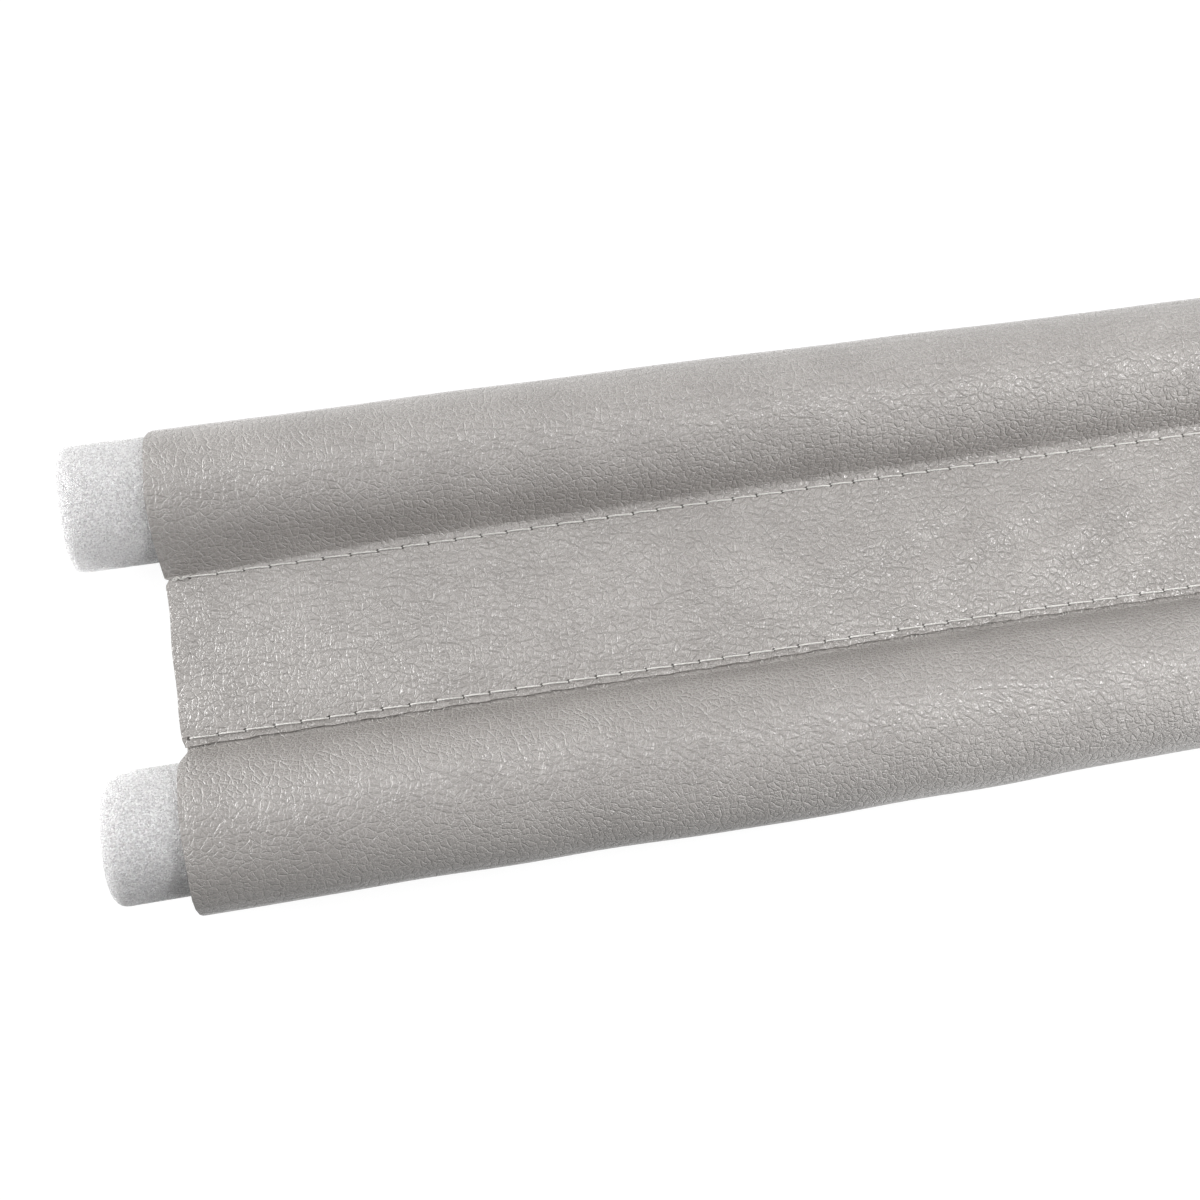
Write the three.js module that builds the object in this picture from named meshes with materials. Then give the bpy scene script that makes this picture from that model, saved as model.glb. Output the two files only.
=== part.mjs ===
// A twin-tube draught guard for the foot of a door. One leatherette sheet is folded and sewn into a flat web with
// a tube along each side, and each tube holds a foam rod that is a little longer than the sleeve.
// Millimetres, +Z up. X runs along the guard and Y across it, with the rear tube at +Y. The origin is on the
// floor, under the middle of the guard.

import * as THREE from "three";

// Foam rods
const ROD_DIAMETER = 30;
const ROD_LENGTH = 937;
const ROD_EDGE = 3.5; // rounding of a rod's ends
const ROD_STAGGER = 2; // each rod lies this far off the middle, the rear one towards -X
const ROD_PLAY = 0.3; // between a rod and the sheet under it
const ROD_SIDES = 40;

// Sheet
const SLEEVE_LENGTH = 900;
const SHEET = 1; // the leatherette with its backing
const LAYER_GAP = 0.3; // between two layers that lie on each other
const WEB_WIDTH = 37.9; // from stitch line to stitch line
const REST_WIDTH = 8; // flat strip on which a tube rests
const FOLD_RADIUS = 0.7; // where the cut edge turns up beside the front tube
const EDGE_LAP = 2.6; // sheet beyond the front stitch line, up to the cut edge
const TUCK = 5; // the sheet's other end, beyond the front stitch line and between the web's layers
const TUCK_ROOM = 1; // from the tucked end to where the web's layers start to close up
const TUCK_RAMP = 6; // over which they close up

// Slack of the sheet round its rod, added to a snug fit
const REAR_CROWN_SLACK = 0.6;
const REAR_SIDE_SLACK = 0.6;
const FRONT_CROWN_SLACK = 0.1;
const FRONT_SIDE_SLACK = 3.7;

// How far a tube's flanks lean towards the web, in degrees from upright
const UPPER_LEAN = 25.5;
const LOWER_LEAN = 15;

// Seams
const STITCH = 6.25;
const SEAM_END = 3; // from a mouth of the sleeve to the first needle hole
const SEAM_MARGIN = 0.8; // from a stitch line to the foot of its tube
const THREAD_WIDTH = 0.5;
const THREAD_CROWN = 0.45; // height of a stitch at its middle
const THREAD_DIP = 0.12; // and at a needle hole

const ARC_STEP = THREE.MathUtils.degToRad(7);

const SNUG = ROD_DIAMETER / 2 + ROD_PLAY + SHEET; // from a rod's middle line to a tight sheet's outer face
const ROD_HEIGHT = SNUG;
const REST_HALF = REST_WIDTH / 2;
const CORNER = SNUG - REST_HALF; // radius between the flat strip and the lower flank
const FLARE = FOLD_RADIUS + LAYER_GAP + SHEET; // radius of a tube's foot, with the lap's turn inside it
const TWO_LAYERS = LAYER_GAP / 2 + SHEET; // from the web's middle plane to its faces
const THREE_LAYERS = SHEET / 2 + LAYER_GAP + SHEET; // and at the tucked end

const upperLean = THREE.MathUtils.degToRad(UPPER_LEAN);
const lowerLean = THREE.MathUtils.degToRad(LOWER_LEAN);

// A tube's section is laid out from its rod's middle, with u towards the web and v up. A flank's foot is where its
// flare, of radius FLARE, meets the web: the straight flank touches both the flare and the round of the tube.
function footOf(roundU, roundV, roundRadius, face, lean) {
  const reach = roundRadius + FLARE - (face + FLARE - roundV) * Math.sin(lean);
  return roundU + reach / Math.cos(lean);
}

function makeTube(crownSlack, sideSlack, upperFace, lowerFace) {
  const crown = SNUG + crownSlack;
  const upperFoot = footOf(0, 0, crown, upperFace, upperLean);
  const lowerFoot = footOf(REST_HALF, REST_HALF, CORNER, lowerFace, lowerLean);
  return {
    crown, upperFace, lowerFace, upperFoot, lowerFoot,
    side: SNUG + sideSlack,
    stitch: Math.max(upperFoot, lowerFoot) + SEAM_MARGIN,
  };
}

const rearTube = makeTube(REAR_CROWN_SLACK, REAR_SIDE_SLACK, TWO_LAYERS, TWO_LAYERS);
const frontTube = makeTube(FRONT_CROWN_SLACK, FRONT_SIDE_SLACK, SHEET / 2, THREE_LAYERS);

// Places across the guard
const WIDTH = rearTube.side + rearTube.stitch + WEB_WIDTH + frontTube.stitch + frontTube.side;
const REAR_ROD_Y = WIDTH / 2 - rearTube.side;
const FRONT_ROD_Y = -WIDTH / 2 + frontTube.side;
const REAR_STITCH_Y = REAR_ROD_Y - rearTube.stitch;
const FRONT_STITCH_Y = FRONT_ROD_Y + frontTube.stitch;
const RAMP_START_Y = FRONT_STITCH_Y + TUCK + TUCK_ROOM;
const RAMP_END_Y = RAMP_START_Y + TUCK_RAMP;

// A point of the sheet's outer face, with the direction that points away from the sheet.
function facePoint(x, y, normalX, normalY) {
  return { at: new THREE.Vector2(x, y), out: new THREE.Vector2(normalX, normalY).normalize() };
}

// Face points along an arc of an ellipse. A hollow arc has the sheet on its outside.
function arc(centreX, centreY, halfWidth, halfHeight, from, to, hollow = false) {
  const steps = Math.max(2, Math.ceil(Math.abs(to - from) / ARC_STEP));
  const side = hollow ? -1 : 1;
  return Array.from({ length: steps + 1 }, (_, i) => {
    const angle = from + ((to - from) * i) / steps;
    const [c, s] = [Math.cos(angle), Math.sin(angle)];
    return facePoint(centreX + halfWidth * c, centreY + halfHeight * s, side * halfHeight * c, side * halfWidth * s);
  });
}

// A tube's outer face, from the web's upper face over the crown and round the outside to the web's lower face.
function tubeFace(tube) {
  return [
    ...arc(tube.upperFoot, tube.upperFace + FLARE, FLARE, FLARE, -Math.PI / 2, upperLean - Math.PI, true),
    ...arc(0, 0, tube.crown, tube.crown, upperLean, Math.PI / 2),
    ...arc(0, 0, tube.side, tube.crown, Math.PI / 2, Math.PI),
    ...arc(-REST_HALF, 0, tube.side - REST_HALF, SNUG, Math.PI, (3 * Math.PI) / 2),
    ...arc(REST_HALF, -REST_HALF, CORNER, CORNER, -Math.PI / 2, -lowerLean),
    ...arc(tube.lowerFoot, -tube.lowerFace - FLARE, FLARE, FLARE, Math.PI - lowerLean, Math.PI / 2, true),
  ];
}

// The lap beyond the front stitch line. It lies on the front tube's flare, and on its flank as far as it is long.
function lapFace(tube) {
  const free = EDGE_LAP - SEAM_MARGIN;
  const turn = Math.min(Math.PI / 2 - upperLean, free / (FOLD_RADIUS + SHEET / 2));
  const straight = free - turn * (FOLD_RADIUS + SHEET / 2);
  const centreV = tube.upperFace + FLARE;
  const flare = arc(tube.upperFoot, centreV, FOLD_RADIUS, FOLD_RADIUS, -Math.PI / 2 - turn, -Math.PI / 2, true);
  const { at, out } = flare[0];
  const edge = facePoint(at.x - out.y * straight, at.y + out.x * straight, out.x, out.y);
  return straight > 0 ? [edge, ...flare] : flare;
}

const onRear = ({ at, out }) => facePoint(REAR_ROD_Y - at.x, ROD_HEIGHT + at.y, -out.x, out.y);
const onFront = ({ at, out }) => facePoint(FRONT_ROD_Y + at.x, ROD_HEIGHT + at.y, out.x, out.y);
const onWeb = (y, height, side) => facePoint(y, ROD_HEIGHT + side * height, 0, side);

// The whole sheet's outer face, from its cut edge to its tucked end.
function sheetFace() {
  const path = [
    ...lapFace(frontTube).map(onFront),
    onWeb(RAMP_START_Y, THREE_LAYERS, 1),
    onWeb(RAMP_END_Y, TWO_LAYERS, 1),
    ...tubeFace(rearTube).map(onRear),
    onWeb(RAMP_END_Y, TWO_LAYERS, -1),
    onWeb(RAMP_START_Y, THREE_LAYERS, -1),
    ...tubeFace(frontTube).map(onFront).reverse(),
    onWeb(FRONT_STITCH_Y + TUCK, SHEET / 2, 1),
  ];
  const apart = 1e-6;
  return path.filter((p, i) => i === 0 || p.at.distanceTo(path[i - 1].at) > apart);
}

// Turns a shape drawn in Y and Z, and extruded along its own third axis, to run along X.
const ALONG_X = new THREE.Matrix4().makeBasis(
  new THREE.Vector3(0, 1, 0), new THREE.Vector3(0, 0, 1), new THREE.Vector3(1, 0, 0),
);

function coverGeometry() {
  const face = sheetFace();
  const back = face.map(({ at, out }) => at.clone().addScaledVector(out, -SHEET)).reverse();
  const section = new THREE.Shape([...face.map(({ at }) => at), ...back]);
  const sleeve = new THREE.ExtrudeGeometry(section, { depth: SLEEVE_LENGTH, bevelEnabled: false });
  return sleeve.translate(0, 0, -SLEEVE_LENGTH / 2).applyMatrix4(ALONG_X);
}

// A rod turned about its own axis, with rounded ends.
function rodGeometry() {
  const radius = ROD_DIAMETER / 2;
  const half = ROD_LENGTH / 2;
  const profile = new THREE.Path();
  profile.moveTo(0, -half);
  profile.lineTo(radius - ROD_EDGE, -half);
  profile.absarc(radius - ROD_EDGE, -half + ROD_EDGE, ROD_EDGE, -Math.PI / 2, 0, false);
  profile.absarc(radius - ROD_EDGE, half - ROD_EDGE, ROD_EDGE, 0, Math.PI / 2, false);
  profile.lineTo(0, half);
  const edgeSteps = 4;
  return new THREE.LatheGeometry(profile.getPoints(edgeSteps), ROD_SIDES);
}

// A closed skin over a row of rings that have their points in the same order.
function skin(rings) {
  const sides = rings[0].length;
  const index = [];
  for (let r = 0; r < rings.length - 1; r++) {
    for (let s = 0; s < sides; s++) {
      const a = r * sides + s;
      const b = r * sides + ((s + 1) % sides);
      index.push(a, b, b + sides, a, b + sides, a + sides);
    }
  }
  const last = (rings.length - 1) * sides;
  for (let s = 1; s < sides - 1; s++) {
    index.push(0, s + 1, s, last, last + s, last + s + 1);
  }
  return new THREE.BufferGeometry().setFromPoints(rings.flat()).setIndex(index);
}

// A seam's thread on one face of the web: it lies flat on the sheet, dips at each needle hole and rises between.
function threadGeometry(side) {
  const stitches = Math.floor((SLEEVE_LENGTH - 2 * SEAM_END) / STITCH);
  const start = (-stitches * STITCH) / 2;
  const half = THREAD_WIDTH / 2;
  const rings = Array.from({ length: 2 * stitches + 1 }, (_, i) => {
    const x = start + (i * STITCH) / 2;
    const height = i % 2 ? THREAD_CROWN : THREAD_DIP;
    return [
      new THREE.Vector3(x, side * half, 0),
      new THREE.Vector3(x, 0, side * height),
      new THREE.Vector3(x, -side * half, 0),
    ];
  });
  return skin(rings);
}

const leatherette = new THREE.MeshStandardMaterial({ color: 0xb2afab, roughness: 0.55, metalness: 0 });
const foam = new THREE.MeshStandardMaterial({ color: 0xe9eaea, roughness: 0.8, metalness: 0 });
const thread = new THREE.MeshStandardMaterial({ color: 0xa9a59f, roughness: 0.7, metalness: 0 });

function piece(name, geometry, material, x, y, z) {
  const mesh = new THREE.Mesh(geometry, material);
  mesh.name = name;
  mesh.position.set(x, y, z);
  return mesh;
}

function rod(name, x, y) {
  const mesh = piece(name, rodGeometry(), foam, x, y, ROD_HEIGHT);
  mesh.rotation.z = -Math.PI / 2;
  return mesh;
}

// A seam's two threads: the needle's on the web's upper face, and the bobbin's on its lower face.
function seam(name, y, layers) {
  const pair = new THREE.Group();
  pair.add(piece(name + "_needle_thread", threadGeometry(1), thread, 0, y, ROD_HEIGHT + layers));
  pair.add(piece(name + "_bobbin_thread", threadGeometry(-1), thread, 0, y, ROD_HEIGHT - layers));
  return pair;
}

const guard = new THREE.Group();
guard.add(piece("cover", coverGeometry(), leatherette, 0, 0, 0));
guard.add(rod("foam_rod_rear", -ROD_STAGGER, REAR_ROD_Y), rod("foam_rod_front", ROD_STAGGER, FRONT_ROD_Y));
guard.add(seam("rear", REAR_STITCH_Y, TWO_LAYERS), seam("front", FRONT_STITCH_Y, THREE_LAYERS));

export default guard;
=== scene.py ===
# %% [markdown]
# # A twin-tube draught guard
# The guard is one long sheet of leatherette, folded and sewn so that it makes a flat web with a tube
# along each side. A foam rod fills each tube and stands a little out of it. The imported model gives
# every piece its place, and this lesson gives each one its soft shape and its finish. New shapes are
# worked out in millimetres with numpy, and become metres when a mesh is made.

import bpy
import numpy as np
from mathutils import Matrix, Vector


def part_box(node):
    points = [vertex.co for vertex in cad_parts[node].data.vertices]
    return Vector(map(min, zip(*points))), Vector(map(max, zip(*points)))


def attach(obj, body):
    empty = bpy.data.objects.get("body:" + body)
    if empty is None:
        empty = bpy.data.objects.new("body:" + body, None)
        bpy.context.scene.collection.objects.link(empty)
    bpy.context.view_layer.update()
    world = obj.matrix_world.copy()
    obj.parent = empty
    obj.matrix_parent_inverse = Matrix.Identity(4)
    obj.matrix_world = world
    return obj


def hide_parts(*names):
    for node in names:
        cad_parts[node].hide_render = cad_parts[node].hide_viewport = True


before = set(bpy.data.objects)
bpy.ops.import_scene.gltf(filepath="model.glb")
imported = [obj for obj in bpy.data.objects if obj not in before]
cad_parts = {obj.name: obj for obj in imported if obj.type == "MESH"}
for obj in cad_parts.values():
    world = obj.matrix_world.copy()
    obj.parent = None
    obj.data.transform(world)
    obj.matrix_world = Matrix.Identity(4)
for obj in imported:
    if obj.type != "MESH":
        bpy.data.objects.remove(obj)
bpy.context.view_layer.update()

MM = 0.001


def box_mm(node):
    """The lowest and highest corner of a node, in millimetres."""
    return np.array([list(corner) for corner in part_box(node)]) / MM


# %% [markdown]
# ## Camera
# The photo looks almost straight down on the left end of the guard, from a little in front of it, with
# a short lens that makes the far part smaller. The place and the angles come from fitting the tubes'
# outlines.

# %% Camera
CAMERA_AT = (-385.12, -60.49, 318.96)
CAMERA_TURN = (12.307, -4.587, -9.483)  # degrees about X, Y and Z
SENSOR = 36.0
FRAME_PIXELS = 1200
FOCAL_PIXELS = 1291.54  # focal length in pixels of a frame that wide

camera_data = bpy.data.cameras.new("camera")
camera_data.sensor_width = SENSOR
camera_data.lens = FOCAL_PIXELS / FRAME_PIXELS * SENSOR
camera_data.clip_start, camera_data.clip_end = 0.01, 20
camera = bpy.data.objects.new("camera", camera_data)
camera.location = [v * MM for v in CAMERA_AT]
camera.rotation_euler = np.radians(CAMERA_TURN)
bpy.context.collection.objects.link(camera)
bpy.context.scene.camera = camera
print("lens", round(camera_data.lens, 2), "mm")

# %% [markdown]
# ## Sizes from the frame
# The rods' boxes give their middle lines and their radius. The cover's box gives the sleeve's two
# mouths, and the threads' boxes give the stitch lines and the heights of the web's faces. The other
# sizes were fitted to the photo or are guesses.

# %% Sizes from the frame
rear_rod, front_rod = box_mm("foam_rod_rear"), box_mm("foam_rod_front")
rear_thread, front_thread = box_mm("rear_needle_thread"), box_mm("front_needle_thread")
ROD_RADIUS = (rear_rod[1, 2] - rear_rod[0, 2]) / 2
ROD_HEIGHT = rear_rod[:, 2].mean()
REAR_ROD_Y, FRONT_ROD_Y = rear_rod[:, 1].mean(), front_rod[:, 1].mean()
HALF_SLEEVE = box_mm("cover")[1, 0]
REAR_STITCH_Y, FRONT_STITCH_Y = rear_thread[:, 1].mean(), front_thread[:, 1].mean()
REAR_FACE = rear_thread[0, 2] - ROD_HEIGHT  # from the web's middle plane to its upper face
FRONT_FACE = front_thread[0, 2] - ROD_HEIGHT

SHEET = 1.0  # thickness of the leatherette with its backing
REST_HALF = 4.0  # half width of the strip on which a tube rests
LOWER_STRIP = 0.9  # flat strip beside the stitches on the underside
EDGE_LAP = 1.7  # from the front stitches to the cut edge
EDGE_WOBBLE = 0.12  # how far a hand-guided cut strays
LAP_BEND = 3.1  # radius of the bend with which the lap follows the tube
LAP_EDGE = 0.42  # thickness of the thinned cut edge, as a share of the sheet
THINNED = 2.0  # width of the strip that gets thinner towards the cut
TUCK = 5.0  # width of the end between the web's two layers
TUCK_ROOM = 1.0  # how far beyond that end the layers still lie apart
TUCK_RAMP = 6.0  # and over what width they close
STITCH = 6.25  # length of a stitch
SNUG = ROD_HEIGHT  # from a rod's middle line to the floor, where the sheet rests
print("rod radius", round(ROD_RADIUS, 2), "mm, web", round(REAR_STITCH_Y - FRONT_STITCH_Y, 2), "mm wide")


# %% [markdown]
# ## How the sheet changes along the guard
# A sewn sleeve is never an even tube. At its mouths the flank runs straight down to the seam. Further
# in, the seam pulls the sheet in beside the rod, so the flank is steeper and ends in a flat strip next
# to the stitches. Each size below is a function of the place x along the guard, so one formula makes
# both kinds of section.

# %% Change along the guard
def smooth(t):
    """0 below 0, 1 above 1, and 3 t squared minus 2 t cubed between."""
    t = np.clip(t, 0, 1)
    return t * t * (3 - 2 * t)


def from_mouth(x):
    """How far x lies inside the nearer mouth."""
    return HALF_SLEEVE - np.abs(x)


def settle(x, at_mouth, inside, reach, swing=0.0, length=90.0, phase=0.0):
    """A size that runs from its value at a mouth to its value inside, and swings there by a sine of x."""
    blend = smooth(from_mouth(x) / reach)
    return at_mouth + (inside - at_mouth + swing * np.sin(2 * np.pi * x / length + phase)) * blend


def rear_sizes(x):
    """The rear tube's sizes for each x, measured from the middle line of its rod."""
    return {
        "crown": settle(x, 16.5, 16.45, 200, 0.10, 130, 0.4),
        "round": settle(x, 16.2, 16.25, 200),
        "shift": settle(x, 0.0, 0.3, 120),
        "side": settle(x, 16.1, 16.35, 60, 0.25, 260, 3.26),
        "stitch": REAR_ROD_Y - REAR_STITCH_Y + settle(x, 0.15, -0.85, 250, 0.2, 210, 2.0),
        "strip": settle(x, 0.35, 1.1, 60),
        "flare": settle(x, 0.6, 1.5, 60),
        "upper": np.full_like(x, REAR_FACE),
        "lower": np.full_like(x, REAR_FACE),
    }


def front_sizes(x):
    """The front tube's sizes, and the width of the lap beside its seam."""
    wobble = np.sin(2 * np.pi * x / 11) + 0.7 * np.sin(2 * np.pi * x / 4.9 + 1)
    return {
        "crown": settle(x, 16.4, 16.5, 200, 0.10, 150, 2.2),
        "round": settle(x, 16.2, 16.2, 200),
        "shift": settle(x, -0.1, -0.1, 120),
        "side": settle(x, 19.7, 20.25, 60, 0.5, 200, -1.57),
        "stitch": FRONT_STITCH_Y - FRONT_ROD_Y + settle(x, -0.1, -0.2, 200, 0.25, 140, 0.9),
        "strip": settle(x, 0.5, 0.6, 60),
        "flare": settle(x, 2.9, 2.9, 60),
        "lap": EDGE_LAP + EDGE_WOBBLE * wobble,
        "upper": np.full_like(x, SHEET / 2),
        "lower": np.full_like(x, FRONT_FACE),
    }


# %% [markdown]
# ## A tube's section
# The section is a row of arcs and straight lines. Its points are measured from the rod's middle, with u
# towards the web and v up. Each part gives points and the directions that point out of the sheet, for
# every column x at once, so the arrays have one row for each column.

# %% Arcs and tangents
def arc(centre_u, centre_v, half_u, half_v, start, stop, steps, hollow=False):
    """Centre plus half width times cos and half height times sin of an angle from start to stop."""
    sizes = np.broadcast_arrays(*map(np.atleast_1d, (centre_u, centre_v, half_u, half_v, start, stop)))
    cu, cv, hu, hv, a, b = (v.astype(float)[:, None] for v in sizes)
    angle = a + (b - a) * np.linspace(0, 1, steps + 1)
    c, s = np.cos(angle), np.sin(angle)
    at = np.stack([cu + hu * c, cv + hv * s], -1)
    out = np.stack([hv * c, hu * s], -1)
    out /= np.linalg.norm(out, axis=-1, keepdims=True)
    return at, (-out if hollow else out)


def line(start, stop, steps):
    """The points strictly between two ends, with the direction of the first end's face."""
    (a, out), (b, _) = start, stop
    t = np.linspace(0, 1, steps + 1)[1:-1, None]
    return a[:, None] * (1 - t) + b[:, None] * t, np.repeat(out[:, None], steps - 1, 1)


def lean(round_u, round_v, radius, foot, face, flare):
    """Angle of the normal of the flank that touches both the round and the hollow flare at its foot."""
    du, dv = foot - round_u, face + flare - round_v
    return np.arctan2(dv, du) + np.arccos(np.clip((radius + flare) / np.hypot(du, dv), -1, 1))


def joined(parts):
    """The points and the directions of several parts, one after the other."""
    return np.concatenate([p[0] for p in parts], 1), np.concatenate([p[1] for p in parts], 1)


def tube_face(size):
    """A tube's outer face, from the web's upper face over the crown and under the rod to the lower one."""
    foot = size["stitch"] - size["strip"]
    round_v = size["crown"] - size["round"]
    upper = lean(size["shift"], round_v, size["round"], foot, size["upper"], size["flare"])
    flare = arc(foot, size["upper"] + size["flare"], size["flare"], size["flare"],
                -np.pi / 2, upper - np.pi, 4, hollow=True)
    crown = arc(size["shift"], round_v, size["round"], size["round"], upper, np.pi / 2, 8)
    outside = arc(size["shift"], 0, size["side"] + size["shift"], size["crown"], np.pi / 2, np.pi, 8)
    under = arc(-REST_HALF, 0, size["side"] - REST_HALF, SNUG, np.pi, 1.5 * np.pi, 6)
    corner_radius = SNUG - REST_HALF
    lower_foot = size["stitch"] - LOWER_STRIP
    lower = lean(REST_HALF, REST_HALF, corner_radius, lower_foot, size["lower"], size["flare"])
    corner = arc(REST_HALF, -REST_HALF, corner_radius, corner_radius, -np.pi / 2, -lower, 5)
    hem = arc(lower_foot, -size["lower"] - size["flare"], size["flare"], size["flare"],
              np.pi - lower, np.pi / 2, 2, hollow=True)
    flank = line((flare[0][:, -1], flare[1][:, -1]), (crown[0][:, 0], crown[1][:, 0]), 4)
    low_flank = line((corner[0][:, -1], corner[1][:, -1]), (hem[0][:, 0], hem[1][:, 0]), 2)
    outside = (outside[0][:, 1:], outside[1][:, 1:])
    under = (under[0][:, 1:], under[1][:, 1:])
    return joined([flare, flank, crown, outside, under, corner, low_flank, hem])


LAP_STEPS = 5


def edge_share(away):
    """The sheet's thickness at a distance from the front seam's cut edge, as a share of the full one."""
    return LAP_EDGE + (1 - LAP_EDGE) * np.clip(away / THINNED, 0, 1)


def lap_face(size):
    """The sheet beyond the front stitches: it follows the flare and thins out towards its cut edge."""
    foot = size["stitch"] - size["strip"]
    turn = np.clip((size["lap"] - size["strip"]) / LAP_BEND, 0, 1)
    at, out = arc(foot, size["lower"] + LAP_BEND, LAP_BEND, LAP_BEND,
                  -np.pi / 2 - turn, -np.pi / 2, LAP_STEPS, hollow=True)
    away = np.linspace(0, 1, LAP_STEPS + 1) * (turn * LAP_BEND)[:, None]
    at[..., 1] -= SHEET * (1 - edge_share(away))
    return at, out


# %% [markdown]
# ## The whole sheet
# The path starts at the cut edge beside the front seam, crosses the web, goes round the rear tube,
# comes back under the web, goes round the front tube and ends tucked between the web's two layers. Rows
# of points lie closer together at the stitches, where the sheet is pulled in.

# %% The sheet's path
NEAR = np.array([0, 0.45, 1.0, 1.8, 3.0, 4.5])  # rows beside a stitch line
MIDDLE_ROWS = 12


def web_face(side, front, rear):
    """One face of the web from the front to the rear stitch line, a layer thicker over the tucked end."""
    y_front, y_rear = (FRONT_ROD_Y + front["stitch"])[:, None], (REAR_ROD_Y - rear["stitch"])[:, None]
    middle = np.linspace(0, 1, MIDDLE_ROWS + 2)[1:-1]
    inner_front, inner_rear = y_front + NEAR[-1], y_rear - NEAR[-2]
    between = inner_front * (1 - middle) + inner_rear * middle
    y = np.concatenate([y_front + NEAR, between, y_rear - NEAR[-2::-1]], 1)
    closing = smooth((y - y_front - TUCK - TUCK_ROOM) / TUCK_RAMP)
    height = FRONT_FACE + (REAR_FACE - FRONT_FACE) * closing
    at = np.stack([y, ROD_HEIGHT + side * height], -1)
    out = np.zeros_like(at)
    out[..., 1] = side
    return at, out


def on_rear(face):
    """A section in its place on the rear tube, where the web lies towards -Y."""
    return face[0] * [-1, 1] + [REAR_ROD_Y, ROD_HEIGHT], face[1] * [-1, 1]


def on_front(face):
    """A section in its place on the front tube, where the web lies towards +Y."""
    return face[0] + [FRONT_ROD_Y, ROD_HEIGHT], face[1]


def backwards(face):
    """A section whose points run the other way."""
    return face[0][:, ::-1], face[1][:, ::-1]


def sheet_path(x):
    """Outer points and directions of the whole section for each x, and the row numbers of what matters."""
    front, rear = front_sizes(x), rear_sizes(x)
    stitch_y = (FRONT_ROD_Y + front["stitch"])[:, None]
    tuck_y = stitch_y + np.array([0, TUCK / 2, TUCK])
    tuck = np.stack([tuck_y, np.full_like(tuck_y, ROD_HEIGHT + SHEET / 2)], -1)
    parts = {
        "lap": on_front(lap_face(front)),
        "web_top": web_face(1, front, rear),
        "rear_tube": on_rear(tube_face(rear)),
        "web_bottom": backwards(web_face(-1, front, rear)),
        "front_tube": backwards(on_front(tube_face(front))),
        "tuck": (tuck, np.broadcast_to([0.0, 1.0], tuck.shape)),
    }
    counts = [part[0].shape[1] for part in parts.values()]
    ends = np.cumsum(counts)
    rows = dict(zip(parts, zip(ends - counts, ends)))
    at, out = joined(list(parts.values()))
    return at, out, rows


middle_at, middle_out, ROWS = sheet_path(np.zeros(1))
ACROSS = np.concatenate([[0], np.cumsum(np.linalg.norm(np.diff(middle_at[0], axis=0), axis=1))])
FRONT_TOP, REAR_TOP = ROWS["web_top"][0], ROWS["web_top"][1] - 1
REAR_BOTTOM, FRONT_BOTTOM = ROWS["web_bottom"][0], ROWS["web_bottom"][1] - 1

# %% [markdown]
# ## Needle holes
# A hand-guided seam has stitches of slightly different lengths. The holes are placed once, with a
# seeded random step, and the puckers, the threads and the painted shade of the holes in the leatherette
# all use the same list. A phase runs from one whole number to the next between two holes.

# %% Needle holes
HOLE_STRAY = 0.18  # how far a hole usually lies from its even place
REAR_START, FRONT_START = 5.0, 1.6  # from the mouth to a seam's first hole
rng = np.random.default_rng(7)


def needle_holes(start):
    """Places of a seam's holes along x: even steps of a stitch, each with a small random part."""
    count = int((2 * HALF_SLEEVE - 2 * start) / STITCH)
    even = -HALF_SLEEVE + start + STITCH * np.arange(count + 1)
    return even + rng.normal(0, HOLE_STRAY, count + 1)


REAR_HOLES, FRONT_HOLES = needle_holes(REAR_START), needle_holes(FRONT_START)
print("holes", len(REAR_HOLES), "and", len(FRONT_HOLES))


def phase(x, holes):
    """The hole number at x, with its fraction between holes, and going on evenly beyond the last ones."""
    numbers = np.arange(len(holes))
    inside = np.interp(x, holes, numbers)
    return inside + np.minimum(x - holes[0], 0) / STITCH + np.maximum(x - holes[-1], 0) / STITCH


# %% [markdown]
# ## Soft forms
# On top of the section come the small forms of real leatherette: the stitches pull it down, the web has
# faint waves and slanting creases, the tubes undulate a little, and thread tension nicks the mouths at
# the seams. Each form is a bump times a slow change along x, and it moves the sheet along its own
# normal.

# %% Soft forms
CREASES = [  # place x and y, slant in degrees, half length, half width, height
    (-258, 0, 31, 24, 4.0, 2.1), (-230, -1, 29, 24, 4.0, 2.1), (-207, -3, 38, 20, 3.9, 2.1),
    (-290, 1, 20, 26, 5.5, 1.5), (-330, 0, 12, 40, 6.0, 0.70), (-120, 4, -30, 32, 4.3, 1.29),
    (-60, -3, 35, 30, 4.1, -1.18), (10, 5, 28, 34, 4.3, 1.29), (75, -5, -34, 28, 3.8, -1.29),
    (150, 3, 30, 32, 4.3, 1.29), (240, -4, -28, 30, 4.1, 1.18), (320, 5, 32, 34, 4.3, -1.18),
]
NOTCH = 0.9  # how far a seam's thread pulls the mouth in
PULL, PULL_HALF = 0.12, 0.8  # depth and half width of the groove along the stitches
PUFF, PUFF_AT, PUFF_HALF = 0.05, 1.8, 1.6  # the sheet swells that far, at that distance from them
MOUTH_REACH = 5.0  # how far inside the sleeve the mouth's cut still moves points
REAR_CORNER, FRONT_CORNER = 1.0, 0.1  # how far a mouth's cut runs back where the tube is widest
SHOULDER = 0.7  # and how far it runs back beside the front seam


def bump(distance, half_width):
    """exp of minus the square of a distance in half widths."""
    return np.exp(-((distance / half_width) ** 2))


def stitch_rows():
    """The row and the needle holes of each stitch line, first on the web's upper face."""
    upper = [(FRONT_TOP, FRONT_HOLES), (REAR_TOP, REAR_HOLES)]
    return upper + [(REAR_BOTTOM, REAR_HOLES), (FRONT_BOTTOM, FRONT_HOLES)]


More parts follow.
